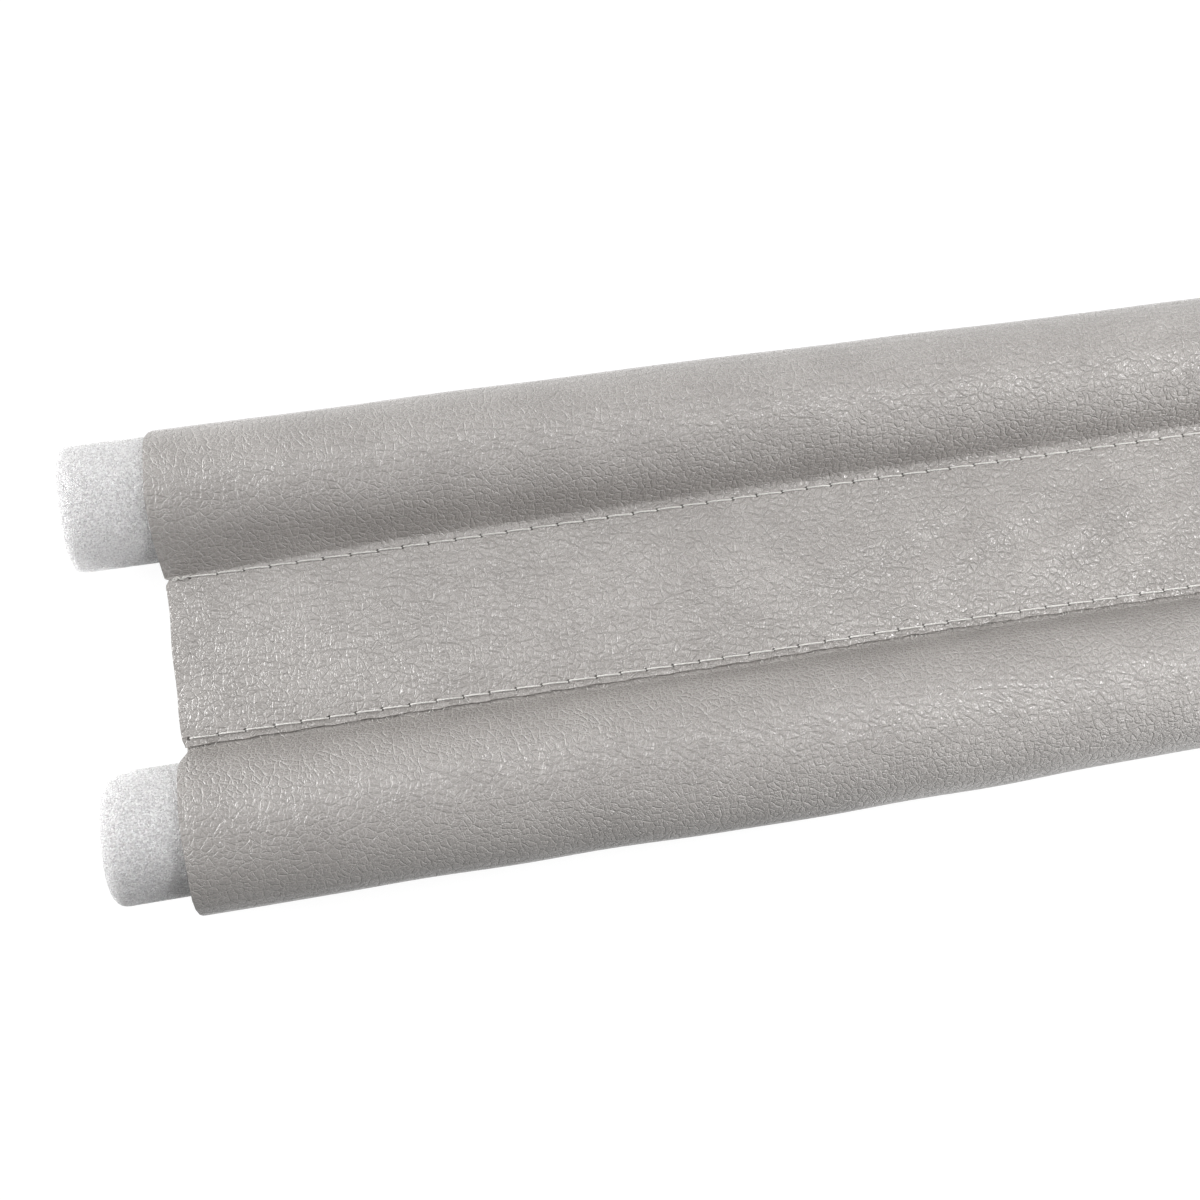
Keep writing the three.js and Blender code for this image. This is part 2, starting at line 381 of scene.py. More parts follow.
def soft_rise(x, at):
    """How far each point moves along its normal."""
    rise = np.zeros(at.shape[:2])
    for row, holes in stitch_rows():
        away = ACROSS[None, :] - ACROSS[row]
        turn = 2 * np.pi * phase(x, holes)[:, None]
        rise -= PULL * (0.6 + 0.4 * np.cos(turn)) * bump(away, PULL_HALF)
        rise -= PUFF * np.cos(turn) * bump(np.abs(away) - PUFF_AT, PUFF_HALF)
    first, last = ROWS["web_top"]
    y = at[:, first:last, 0]
    across_web = (ACROSS[first:last] - ACROSS[first]) / (ACROSS[last - 1] - ACROSS[first])
    window = np.sin(np.pi * across_web)
    web = 0.3 * np.sin(2 * np.pi * x / 83 + 0.6)[:, None] + 0.16 * np.sin(2 * np.pi * x / 37 + 2)[:, None]
    for cx, cy, slant, half_length, half_width, height in CREASES:
        c, s = np.cos(np.radians(slant)), np.sin(np.radians(slant))
        along = (x[:, None] - cx) * c + (y - cy) * s
        over = -(x[:, None] - cx) * s + (y - cy) * c
        web = web + height * bump(along, half_length) * bump(over, half_width)
    rise[:, first:last] += window * (web + 0.25)
    for name, swell in (("rear_tube", 0.10), ("front_tube", 0.13)):
        first, last = ROWS[name]
        around = (ACROSS[first:last] - ACROSS[first]) / (ACROSS[last - 1] - ACROSS[first])
        long_wave, short_wave = np.sin(2 * np.pi * x / 61), np.sin(2 * np.pi * x / 38 + 1.3)
        wave = long_wave[:, None] * np.sin(3 * np.pi * around)
        wave = wave + short_wave[:, None] * np.sin(5 * np.pi * around) * 0.6
        rise[:, first:last] += swell * wave * np.sin(np.pi * around) * smooth(from_mouth(x) / 30)[:, None]
    return rise


def row_facing(part, direction):
    """The row of a part whose outer face looks most along a direction across the guard."""
    first, last = ROWS[part]
    return first + int((middle_out[0, first:last] @ direction).argmax())


def held(distance, half_width, length):
    """A bump on the near side of a row, held at full height beyond the row and let go over a length."""
    return np.where(distance < 0, bump(distance, half_width), 1 - smooth(distance / length))


def mouth_cut():
    """How far the cut of a mouth stands out at each row. It runs back where this is negative."""
    cut = 0.2 * np.sin(2 * np.pi * ACROSS / 47 + 1) + 0.12 * np.sin(2 * np.pi * ACROSS / 19)
    rear, front = row_facing("rear_tube", [0.95, 0.31]), row_facing("front_tube", [-1.0, -0.07])
    cut -= REAR_CORNER * held(ACROSS - ACROSS[rear], 4.2, 22)
    cut -= FRONT_CORNER * held(ACROSS[front] - ACROSS, 4.2, 22)
    cut -= SHOULDER * bump(ACROSS - ACROSS[ROWS["front_tube"][1] - 1], 9)
    cut += 0.5 * bump(ACROSS - ACROSS[row_facing("rear_tube", [0, 1])], 12)
    cut -= 0.5 * bump(ACROSS - ACROSS[row_facing("front_tube", [0, 1])], 12)
    cut += 0.7 * bump(ACROSS - (ACROSS[FRONT_TOP] + ACROSS[REAR_TOP]) / 2, 13)
    cut -= NOTCH * sum(bump(ACROSS - ACROSS[row], 0.8) for row in (REAR_TOP, REAR_BOTTOM, FRONT_BOTTOM))
    return cut - 0.4 * bump(ACROSS, 1.0)


def soft_slide(x):
    """How far each point moves along x: the mouth's cut, which fades out inside the sleeve."""
    fading = 1 - smooth(from_mouth(x) / MOUTH_REACH)
    return np.sign(x)[:, None] * mouth_cut()[None, :] * fading[:, None]


def sheet_points(x):
    """The finished outer face, which stops at the floor: its points and the directions out of it."""
    at, out, _ = sheet_path(x)
    at = at + out * soft_rise(x, at)[..., None]
    along = x[:, None] + soft_slide(x)
    points = np.stack([along, at[..., 0], np.maximum(at[..., 1], 0)], -1)
    normals = np.concatenate([np.zeros(out.shape[:2] + (1,)), out], -1)
    return points, normals


# %% [markdown]
# ## Meshes from grids
# A grid of points becomes a mesh of four-sided faces. The order of a face's corners makes it point
# outwards, and each face corner may carry a place on a flat map, so that the leather grain follows the
# sheet round the tubes.

# %% Meshes from grids
def make_piece(name, points, faces, maps=None):
    """An object at the origin from points in millimetres, with its flat maps given for each point."""
    mesh = bpy.data.meshes.new(name)
    mesh.from_pydata((points.reshape(-1, 3) * MM).tolist(), [], faces)
    mesh.shade_smooth()
    corners = np.empty(len(mesh.loops), int)
    mesh.loops.foreach_get("vertex_index", corners)
    for key, values in (maps or {}).items():
        layer = mesh.uv_layers.new(name=key)
        layer.data.foreach_set("uv", values.reshape(-1, 2)[corners].ravel())
    piece = bpy.data.objects.new(name, mesh)
    bpy.context.collection.objects.link(piece)
    return piece


def grid_faces(rows, columns, ring=False):
    """Four corners of each cell of a grid. In a ring the last column joins the first."""
    wide = columns if ring else columns - 1
    i, j = np.meshgrid(np.arange(rows - 1), np.arange(wide), indexing="ij")
    k = (j + 1) % columns
    here, next_row = i * columns, (i + 1) * columns
    faces = np.stack([here + j, next_row + j, next_row + k, here + k], -1)
    return faces.reshape(-1, 4).tolist()


def tube_mesh(rings, offset=0):
    """Faces of a closed tube over rings of points, with a many-sided face on each end."""
    count, sides = rings.shape[:2]
    faces = (np.array(grid_faces(count, sides, ring=True)) + offset).tolist()
    first = list(range(offset, offset + sides))
    last = [corner + (count - 1) * sides for corner in first]
    return faces + [first, last[::-1]]


def strand(path, up, radius, sides=6):
    """Rings of a round strand along a path. Each ring turns about the path, from the direction up."""
    run = np.gradient(path, axis=0)
    run /= np.linalg.norm(run, axis=1, keepdims=True)
    side = np.cross(up, run)
    side /= np.linalg.norm(side, axis=1, keepdims=True)
    up = np.cross(run, side)
    angle = (2 * np.pi * np.arange(sides) / sides)[:, None]
    radius = np.broadcast_to(radius, len(path))[:, None, None]
    return path[:, None] + radius * (np.cos(angle) * up[:, None] + np.sin(angle) * side[:, None])


# %% [markdown]
# ## The cover
# The sheet could be simulated as cloth, but it is sewn tight round stiff foam, so its shape is known:
# it is drawn as one grid and gets its thickness from a Solidify modifier. The columns are close
# together at the end that the photo shows, and more than twice as far apart on the rest, which keeps
# the mesh light.

# %% The cover
FINE, COARSE = 1.6, 3.6  # distance between columns
FINE_LENGTH = 282.0  # about what the photo shows
fine_columns = np.arange(-HALF_SLEEVE, -HALF_SLEEVE + FINE_LENGTH, FINE)
coarse_count = int((HALF_SLEEVE - fine_columns[-1]) / COARSE)
columns = np.concatenate([fine_columns, np.linspace(fine_columns[-1], HALF_SLEEVE, coarse_count + 1)[1:]])

points, _ = sheet_points(columns)
map_x = np.broadcast_to(columns[:, None], points.shape[:2])
across_steps = np.linalg.norm(np.diff(sheet_path(columns)[0], axis=1), axis=2)
map_s = np.concatenate([np.zeros((len(columns), 1)), np.cumsum(across_steps, axis=1)], 1)
seam_away = np.stack([ACROSS - ACROSS[row] for row, _ in stitch_rows()])
nearest = np.abs(seam_away).argmin(0)
beside_front = (nearest == 0) | (nearest == 3)
front_phase, rear_phase = phase(columns, FRONT_HOLES), phase(columns, REAR_HOLES)
seam_phase = np.where(beside_front, front_phase[:, None], rear_phase[:, None])
seam_side = np.broadcast_to(np.take_along_axis(seam_away, nearest[None], 0), points.shape[:2])
cover = make_piece(
    "soft_cover", points, grid_faces(len(columns), len(ACROSS)),
    {"sheet": np.stack([map_x, map_s], -1) * MM, "stitches": np.stack([seam_phase, seam_side], -1)},
)
wall = cover.modifiers.new("thickness", "SOLIDIFY")
wall.thickness = SHEET * MM
wall.offset = -1
wall.use_even_offset = True
thin = cover.vertex_groups.new(name="thickness")
share = np.broadcast_to(edge_share(ACROSS), points.shape[:2]).ravel()
for step in np.unique(share):
    thin.add(np.flatnonzero(share == step).tolist(), float(step), "REPLACE")
wall.vertex_group = thin.name
wall.material_offset = 1
wall.material_offset_rim = 2
print("cover", points.shape[0], "columns and", points.shape[1], "rows")

# %% [markdown]
# ## Foam rods
# The rods are cut from closed-cell foam: round, with ends softened by the knife and cut a little
# aslant. A turned profile gives the form, and a seeded field of bumps about a millimetre wide pushes
# the skin inwards, which makes the rim look fuzzy against the light. The cells themselves are finer and
# come with the material.

# %% Foam rods
SKIN = 0.06  # how far the bumps push the skin
SKIN_BELOW = 0.02  # the skin stays that far inside the node's radius
SKIN_CENTRE = 3.0  # the bumps fade out within that radius on an end face
ROD_SIDES = 160
BUMPS_ROUND = 88
SHOWN = 30.0  # length of each end that has fine rings
LEANING = 14.0  # length of the end that leans with its slanting cut
CORNER_FROM = 0.75  # where the cut corner starts, on the way from the middle line to the side of the web


def cell_field(rows, sides, cell_rows, cell_columns, seed):
    """Smooth random bumps: random numbers on a coarse grid, with a smooth step from each to the next."""
    values = np.random.default_rng(seed).normal(0, 1, (cell_rows + 1, cell_columns))
    r = np.linspace(0, cell_rows, rows, endpoint=False)
    c = np.linspace(0, cell_columns, sides, endpoint=False)
    r0, c0 = r.astype(int), c.astype(int)
    tr, tc = smooth(r - r0)[:, None], smooth(c - c0)[None, :]
    c1 = (c0 + 1) % cell_columns
    low = values[r0][:, c0] * (1 - tc) + values[r0][:, c1] * tc
    high = values[r0 + 1][:, c0] * (1 - tc) + values[r0 + 1][:, c1] * tc
    return low * (1 - tr) + high * tr


def rod_profile(length, edge):
    """Radius and place along the rod, from the middle of one end face to the middle of the other."""
    face = np.linspace(0.6, ROD_RADIUS - edge, 18)
    turn = np.linspace(0, np.pi / 2, 12)[1:]
    end_r = np.concatenate([face, ROD_RADIUS - edge + edge * np.sin(turn)])
    end_x = np.concatenate([face * 0, edge - edge * np.cos(turn)])
    shown = np.linspace(edge, SHOWN, 46)[1:]
    hidden = np.linspace(SHOWN, length - SHOWN, 60)[1:-1]
    even = np.full(2 * len(shown) + len(hidden), ROD_RADIUS)
    radius = np.concatenate([end_r, even, end_r[::-1]])
    place = np.concatenate([end_x, shown, hidden, length - shown[::-1], length - end_x[::-1]])
    return radius, place


def make_rod(name, low, high, edge, longer, lean_back, corner, web_side, seed):
    """A rod round its node's middle line. Each end is rounded by edge and longer than the node's end.

    Above the middle line an end leans back by lean_back times the height in radii. Towards the web it also
    leans back by corner times the square of t, which runs from 0 at CORNER_FROM to 1 at the rod's side.
    """
    low, high = low - [longer, 0, 0], high + [longer, 0, 0]
    length, middle = high[0] - low[0], (low + high) / 2
    radius, place = rod_profile(length, edge)
    angle = 2 * np.pi * np.arange(ROD_SIDES) / ROD_SIDES
    skin = cell_field(len(radius), ROD_SIDES, len(radius) * 2 // 3, BUMPS_ROUND, seed)
    depth = SKIN * skin * smooth(radius / SKIN_CENTRE)[:, None]
    r = radius[:, None] - np.abs(depth) - SKIN_BELOW
    y, z = middle[1] + r * np.cos(angle), middle[2] - r * np.sin(angle)
    near_end = 1 - smooth(place / LEANING)[:, None]
    near_end += 1 - smooth((length - place) / LEANING)[:, None]
    t = np.clip((web_side * (y - middle[1]) / ROD_RADIUS - CORNER_FROM) / (1 - CORNER_FROM), 0, 1)
    lean_in = (lean_back * np.maximum(z - middle[2], 0) / ROD_RADIUS + corner * t**2) * near_end
    inward = np.where(place[:, None] < length / 2, 1, -1)
    x = low[0] + place[:, None] + inward * lean_in + inward * np.abs(depth) * near_end
    points = np.stack([x, y, z], -1)
    return make_piece(name, points, tube_mesh(points))


rear_foam = make_rod("soft_rod_rear", *rear_rod, edge=2.2, longer=1.3,
                     lean_back=2.2, corner=0.0, web_side=-1, seed=11)
front_foam = make_rod("soft_rod_front", *front_rod, edge=3.2, longer=2.2,
                      lean_back=1.6, corner=3.9, web_side=1, seed=12)
print("rods", len(rear_foam.data.polygons), "faces each")

# %% [markdown]
# ## Threads
# A lockstitch has one thread on each face of the web. Each lies on the leatherette between two needle
# holes, dips into both of them and slants a little. The path comes from the sheet's own points, so a
# thread can't float.

# %% Threads
THREAD_RADIUS = 0.2
# Places between two holes, how high the thread lies there, and how far it slants to each side.
STITCH_STEPS = np.array([0.0, 0.045, 0.1, 0.2, 0.35, 0.5, 0.65, 0.8, 0.9, 0.955])
STITCH_LIFT = np.array([-0.36, -0.05, 0.17, 0.24, 0.27, 0.28, 0.27, 0.24, 0.17, -0.05])
STITCH_SLANT = 0.13


def stitched_path(holes, row):
    """The line of a thread over one row of the sheet: up from each hole, along it and down again."""
    gaps = np.diff(holes)
    x = (holes[:-1, None] + gaps[:, None] * STITCH_STEPS).ravel()
    lift = np.tile(STITCH_LIFT, len(gaps))
    slant = np.tile(STITCH_SLANT * (1 - 2 * STITCH_STEPS), len(gaps))
    points, normals = sheet_points(x)
    up = normals[:, row]
    across = np.cross(up, [1.0, 0.0, 0.0])
    return points[:, row] + up * lift[:, None] + across * slant[:, None], up


def make_thread(name, holes, row):
    """One thread of a seam, as a round strand."""
    path, up = stitched_path(holes, row)
    rings = strand(path, up, THREAD_RADIUS)
    return make_piece(name, rings, tube_mesh(rings))


threads = {
    "rear_needle_thread": make_thread("sewn_rear_needle_thread", REAR_HOLES, REAR_TOP),
    "rear_bobbin_thread": make_thread("sewn_rear_bobbin_thread", REAR_HOLES, REAR_BOTTOM),
    "front_needle_thread": make_thread("sewn_front_needle_thread", FRONT_HOLES, FRONT_TOP),
    "front_bobbin_thread": make_thread("sewn_front_bobbin_thread", FRONT_HOLES, FRONT_BOTTOM),
}
print("threads", [len(t.data.polygons) for t in threads.values()])

# %% [markdown]
# ## Thread ends and lint
# The rear seam starts with a few stitches over each other, and their cut ends make a small pale knot.
# Along the cut edge, short fibres of the backing stand out. They are many and tiny, so each has only a
# few faces.

# %% Thread ends and lint
def many_strands(name, strands):
    """One piece from several closed strands."""
    points, faces, offset = [], [], 0
    for rings in strands:
        points.append(rings.reshape(-1, 3))
        faces += tube_mesh(rings, offset)
        offset += rings.shape[0] * rings.shape[1]
    return make_piece(name, np.concatenate(points), faces)


def knot_strand(x0, x1, lift, swing, turns, radius):
    """A strand that runs over the first stitches and sways across them."""
    t = np.linspace(0, 1, 22)
    points, normals = sheet_points(x0 + (x1 - x0) * t)
    up = normals[:, REAR_TOP]
    across = np.cross(up, [1.0, 0.0, 0.0])
    path = points[:, REAR_TOP] + up * (lift * np.sin(np.pi * t) ** 0.5)[:, None]
    path = path + across * (swing * np.sin(2 * np.pi * turns * t))[:, None]
    return strand(path, up, radius * (0.75 + 0.25 * np.sin(np.pi * t)))


left = -HALF_SLEEVE
knot = many_strands("rear_thread_knot", [
    knot_strand(left + 0.9, left + 5.4, 0.34, 0.24, 1.5, 0.19),
    knot_strand(left + 1.1, left + 4.2, 0.52, -0.3, 2.0, 0.17),
    knot_strand(left + 1.6, left + 3.4, 0.66, 0.34, 1.0, 0.18),
    knot_strand(left + 0.7, left + 2.4, 0.30, -0.42, 0.6, 0.13),
])


def lint(count, seed):
    """Short curved fibres from the cut edge down over the front tube's flank."""
    draw = np.random.default_rng(seed)
    x = np.sort(draw.uniform(-HALF_SLEEVE + 2, HALF_SLEEVE - 2, count))
    points, normals = sheet_points(x)
    edge, out = points[:, 0], normals[:, 0]
    down = np.cross(out, [1.0, 0.0, 0.0])
    strands = []
    for p, o, d in zip(edge, out, down):
        t = np.linspace(0, 1, 5)[:, None]
        length, drift, depth = draw.uniform(0.5, 1.1), draw.uniform(-0.6, 0.6), draw.uniform(0.3, 0.8)
        path = (p - o * depth - d * length * t
                + o * 0.35 * np.sin(np.pi * t) + np.array([drift, 0, 0]) * t * t)
        strands.append(strand(path, np.repeat(o[None], 5, 0), draw.uniform(0.05, 0.085), sides=4))
    return strands


edge_lint = many_strands("cut_edge_lint", lint(230, 5))
print("knot", len(knot.data.polygons), "faces, lint", len(edge_lint.data.polygons), "faces")

# %% [markdown]
# ## Writing materials as expressions
# A material is a graph of nodes, and a line such as 1 - mask is easier to read than three nodes and
# their links. The class below wraps one socket and turns Python's arithmetic into Math nodes.
# Other nodes come from one method that makes a node from its type, its settings and its inputs.

# %% A socket that does arithmetic
class Socket:
    """One output of a node, on which Python's arithmetic makes Math nodes."""

    def __init__(self, finish, socket):
        self.finish, self.socket = finish, socket

    def math(self, operation, *others):
        inputs = dict(enumerate((self, *others)))
        return self.finish.node("ShaderNodeMath", {"operation": operation}, inputs)

    def __add__(self, other):
        return self.math("ADD", other)

    __radd__ = __add__

    def __mul__(self, other):
        return self.math("MULTIPLY", other)

    def __sub__(self, other):
        return self.math("SUBTRACT", other)

    def __truediv__(self, other):
        return self.math("DIVIDE", other)

    def __rsub__(self, other):
        return self * -1 + other

    def ramp(self, low, high):
        """0 below low and 1 above high, with a smooth rise between. It falls where low is the greater."""
        settings = {"interpolation_type": "SMOOTHSTEP"}
        return self.finish.node("ShaderNodeMapRange", settings, {0: self, 1: low, 2: high})


class Finish:
    """A material and its graph of nodes."""

    def __init__(self, name):
        self.material = bpy.data.materials.new(name)
        self.material.use_nodes = True
        self.tree = self.material.node_tree
        self.tree.nodes.clear()
        self.end = self.tree.nodes.new("ShaderNodeOutputMaterial")

    def node(self, kind, settings=None, inputs=None, output=0):
        """A node of that kind: its settings first, then a value or a link for each named input."""
        made = self.tree.nodes.new(kind)
        for key, value in (settings or {}).items():
            setattr(made, key, value)
        for key, value in (inputs or {}).items():
            if isinstance(value, Socket):
                self.tree.links.new(value.socket, made.inputs[key])
            else:
                made.inputs[key].default_value = value
        return Socket(self, made.outputs[output])

    def surface(self, shader):
        """The finished material, with this shader as its surface."""
        self.tree.links.new(shader.socket, self.end.inputs["Surface"])
        return self.material

    def mix(self, factor, a, b):
        """Colour a where the factor is 0 and colour b where it is 1."""
        return self.node("ShaderNodeMix", {"data_type": "RGBA"}, {0: factor, 6: a, 7: b}, 2)

    def scaled(self, vector, factor):
        return self.node("ShaderNodeVectorMath", {"operation": "SCALE"}, {0: vector, 3: factor})

    def moved(self, vector, offset):
        return self.node("ShaderNodeVectorMath", {"operation": "ADD"}, {0: vector, 1: offset})

    def noise(self, vector, scale, detail=2.0, output=0):
        inputs = {"Vector": vector, "Scale": scale, "Detail": detail}
        return self.node("ShaderNodeTexNoise", None, inputs, output)

    def bumped(self, height, depth):
        """A normal for a height, where a height of 1 stands out by the depth in millimetres."""
        inputs = {"Strength": 1.0, "Distance": depth * MM, "Height": height}
        return self.node("ShaderNodeBump", None, inputs)

    def parts(self, vector):
        """The x, y and z of a vector, or the red, green and blue of a colour."""
        made = self.node("ShaderNodeSeparateXYZ", None, {0: vector})
        return [Socket(self, out) for out in made.socket.node.outputs]


def colour(red, green, blue):
    """A screen colour from 0 to 255 as the linear colour that a shader takes."""
    c = np.array([red, green, blue]) / 255
    linear = np.where(c <= 0.04045, c / 12.92, ((c + 0.055) / 1.055) ** 2.4)
    return (*[float(v) for v in linear], 1.0)


# %% [markdown]
# ## Leatherette
# The face is printed with a litchi grain: cells of about 2 mm, outlined by shallow grooves, with finer
# creases inside, about 1 mm apart. A Voronoi texture gives the distance to the nearest cell edge, and a
# ramp turns it into a groove. The grooves and creases are also painted a little paler, as painted
# highlight for the light that their walls catch. The texture reads the sheet's own flat map in
# millimetres, so the grain goes round the tubes without stretching. The grain is shallow at the mouths
# and gets deeper further in. A second map counts the stitches, and puts a dip at each needle hole, with
# painted shade in it.

# %% Leatherette
GRAIN = 1.9  # usual width of a cell
FINE_GRAIN = 0.92  # usual distance between the finer creases
WANDER = 2.2  # how far the pattern is bent out of its even place
GRAIN_DEPTH = 0.19
FLATTER, DEEPER = 0.7, 1.15  # share of that depth at the stretched mouths and further in
SETTLED = 250.0  # from a mouth to where the grain has its full depth
HOLE_RADIUS = 0.36
HOLE_DIP = 2.0


def leatherette():
    """The printed face, with a dip at each needle hole and painted shade in it."""
    finish = Finish("leatherette")
    flat = finish.node("ShaderNodeUVMap", {"uv_map": "sheet"})
    place = finish.scaled(flat, 1 / MM)
    wander = finish.moved(finish.noise(place, 0.2, 4.0, output=1), (-0.5, -0.5, -0.5))
    bent = finish.moved(place, finish.scaled(wander, WANDER))
    cells = {"voronoi_dimensions": "2D", "feature": "DISTANCE_TO_EDGE"}
    coarse = finish.node("ShaderNodeTexVoronoi", cells, {"Vector": bent, "Scale": 1 / GRAIN})
    fine = finish.node("ShaderNodeTexVoronoi", cells, {"Vector": bent, "Scale": 1 / FINE_GRAIN})
    strength = finish.noise(place, 0.3, 1.0).ramp(0.35, 0.65)
    groove = (1 - coarse.ramp(0.0, 0.12)) * (strength * 0.35 + 0.65)
    crease = (1 - fine.ramp(0.0, 0.2)) * (1 - strength * 0.35)
    pillow = coarse.ramp(0.0, 0.5)
    grit = finish.noise(place, 5.0, 3.0)
    height = pillow * 0.45 - groove * 0.9 - crease * 0.6 + grit * 0.35
    inward = finish.parts(place)[0].math("ABSOLUTE").ramp(HALF_SLEEVE, HALF_SLEEVE - SETTLED)
    height = height * (FLATTER + inward * (DEEPER - FLATTER))

    seam = finish.parts(finish.node("ShaderNodeUVMap", {"uv_map": "stitches"}))
    along = (seam[0] + 0.5).math("FRACT").math("SUBTRACT", 0.5) * STITCH
    hole = (along * along + seam[1] * seam[1]).math("SQRT").ramp(HOLE_RADIUS * 1.5, HOLE_RADIUS * 0.7)

    mottle = finish.noise(place, 0.06, 3.0).ramp(0.3, 0.7)
    base = finish.mix(mottle, colour(145, 141, 138), colour(153, 149, 146))
    # Painted highlight: the grooves and creases are painted a little paler, for the light that their walls
    # catch.
    base = finish.mix(groove * 0.07 + crease * 0.05, base, colour(206, 203, 199))
    # Painted shade: each needle hole is painted dark for the shade inside it.
    base = finish.mix(hole, base, colour(62, 58, 54))
    rough = 0.21 + groove * 0.3 + crease * 0.15
    shader = finish.node("ShaderNodeBsdfPrincipled", None, {
        "Base Color": base, "Roughness": rough, "IOR": 1.5, "Specular IOR Level": 0.7,
        "Normal": finish.bumped(height - hole * HOLE_DIP, GRAIN_DEPTH),
    })
    return finish.surface(shader)


def backing():
    """The knitted cloth behind the leatherette: pale, rough and finely ribbed."""
    finish = Finish("backing_cloth")
    place = finish.scaled(finish.node("ShaderNodeUVMap", {"uv_map": "sheet"}), 1 / MM)
    x, y, _ = finish.parts(place)
    rib = (x * 9.0).math("SINE") * 0.5 + (y * 9.0).math("SINE") * 0.5
    base = finish.mix(rib.ramp(-1.0, 1.0), colour(186, 183, 178), colour(206, 203, 198))
    shader = finish.node("ShaderNodeBsdfPrincipled", None, {
        "Base Color": base, "Roughness": 0.95, "Normal": finish.bumped(rib, 0.1)})
    return finish.surface(shader)


def cut_edge():
    """The cut through the sheet, with pale fibres in it. It has an even tone beside the front seam."""
    finish = Finish("cut_edge")
    place = finish.scaled(finish.node("ShaderNodeTexCoord", output=3), 1 / MM)
    fibre = finish.noise(place, 3.2, 3.0).ramp(0.35, 0.7)
    across = finish.parts(finish.node("ShaderNodeUVMap", {"uv_map": "sheet"}))[1] / MM
    lap = across.ramp(0.5, 0.1)
    base = finish.mix(fibre, colour(150, 146, 140), colour(180, 176, 170))
    base = finish.mix(lap, base, colour(158, 152, 145))
    shader = finish.node("ShaderNodeBsdfPrincipled", None, {
        "Base Color": base, "Roughness": 0.9, "Normal": finish.bumped(fibre, 0.15)})
    return finish.surface(shader)


for made in (leatherette(), backing(), cut_edge()):
    cover.data.materials.append(made)
print("cover finishes", [m.name for m in cover.data.materials])

# %% [markdown]
# ## Sharp cut edges
# The thickness becomes part of the mesh now, so that the edges of the cut can be marked as sharp.
# Without that, the face would be shaded round into the cut, and the mouths would glow where the lamp
# grazes them.

# %% Sharp cut edges
SHARP_ANGLE = 50.0  # degrees between two faces
solid = bpy.data.meshes.new_from_object(cover.evaluated_get(bpy.context.evaluated_depsgraph_get()))
solid.set_sharp_from_angle(angle=np.radians(SHARP_ANGLE))
cover.modifiers.clear()
cover.data = solid
print("cover faces", len(solid.polygons))

# %% [markdown]
# ## Foam
# Closed-cell foam scatters light inside and glitters where a cell wall lies flat to it. A
# three-dimensional Voronoi texture gives each cell its own tone and gloss, the distance to the cell's
# centre makes it a small dome, and some scattering under the skin takes the hardness out of the
# shadows.

# %% Foam
CELL = 0.29  # usual width of a cell
CELL_DEPTH = 1.1


def foam():
    """White foam whose cells differ in tone and gloss."""
    finish = Finish("foam")
    place = finish.scaled(finish.node("ShaderNodeTexCoord", output=3), 1 / MM)
    cells = {"voronoi_dimensions": "3D", "feature": "F1"}
    inner = finish.node("ShaderNodeTexVoronoi", cells, {"Vector": place, "Scale": 1 / CELL})
    tint = finish.node("ShaderNodeTexVoronoi", cells, {"Vector": place, "Scale": 1 / CELL}, output=1)
    shade, _, wet = finish.parts(tint)
    grit = finish.noise(place, 3.2, 2.0)
    base = finish.mix(shade, colour(194, 191, 193), colour(255, 255, 255))
    shader = finish.node("ShaderNodeBsdfPrincipled", None, {
        "Base Color": base, "Roughness": 0.1 + wet * 0.25, "IOR": 1.5, "Specular IOR Level": 1.0,
        "Subsurface Weight": 0.6, "Subsurface Scale": 0.014, "Subsurface Radius": (1.0, 1.0, 1.0),
        "Normal": finish.bumped(grit * 0.8 - inner, CELL_DEPTH)})
    return finish.surface(shader)


foam_finish = foam()
for rod in (rear_foam, front_foam):
    rod.data.materials.append(foam_finish)
print("foam cells", CELL, "mm")

# %% [markdown]
# ## Thread
# The thread is spun from two plies, so fine slanting ribs run round it. It is paler than the sheet, and
# so are the knot and the lint, which have the same ribs in a slightly darker tone.

# %% Thread
def thread_finish(name, dark, light):
    """Fibre with slanting ribs between two tones."""
    finish = Finish(name)
    place = finish.scaled(finish.node("ShaderNodeTexCoord", output=3), 1 / MM)
    x, y, z = finish.parts(place)
    ply = ((x + y + z) * 18.0).math("SINE")
    base = finish.mix(ply.ramp(-1.0, 1.0), dark, light)
    shader = finish.node("ShaderNodeBsdfPrincipled", None, {
        "Base Color": base, "Roughness": 0.6, "Normal": finish.bumped(ply, 0.05)})
    return finish.surface(shader)


spun = thread_finish("spun_thread", colour(214, 211, 207), colour(240, 238, 235))
pale = thread_finish("pale_fibre", colour(205, 202, 198), colour(232, 230, 227))
for piece in threads.values():
    piece.data.materials.append(spun)
knot.data.materials.append(pale)
edge_lint.data.materials.append(pale)
print("thread finishes", spun.name, "and", pale.name)

# %% [markdown]
# ## Floor and world
# For the camera, for reflections and for light that passes through something, the floor is mostly plain
# white, and a small share of it is matt and keeps a faint shadow. The world is white for the same rays.
# Both are dark for the rays that light the object, so that the lamps alone do that.

# %% Floor and world
FLOOR_HALF = 3000.0
SHADOW_KEPT = 0.12  # share of the matt floor, with its shadow, in what these rays see
WHITE = 1.07  # strength of the plain white in the other share
RAYS_THAT_SEE_WHITE = ("Is Camera Ray", "Is Glossy Ray", "Is Transmission Ray")


def sees_white(tree):
    """A socket that is 1 for the rays that see white, and 0 for those that light the object."""
    path = tree.nodes.new("ShaderNodeLightPath")
    seen = path.outputs[RAYS_THAT_SEE_WHITE[0]]
    for kind in RAYS_THAT_SEE_WHITE[1:]:
        either = tree.nodes.new("ShaderNodeMath")
        either.operation = "MAXIMUM"
        tree.links.new(seen, either.inputs[0])
        tree.links.new(path.outputs[kind], either.inputs[1])
        seen = either.outputs[0]
    return seen


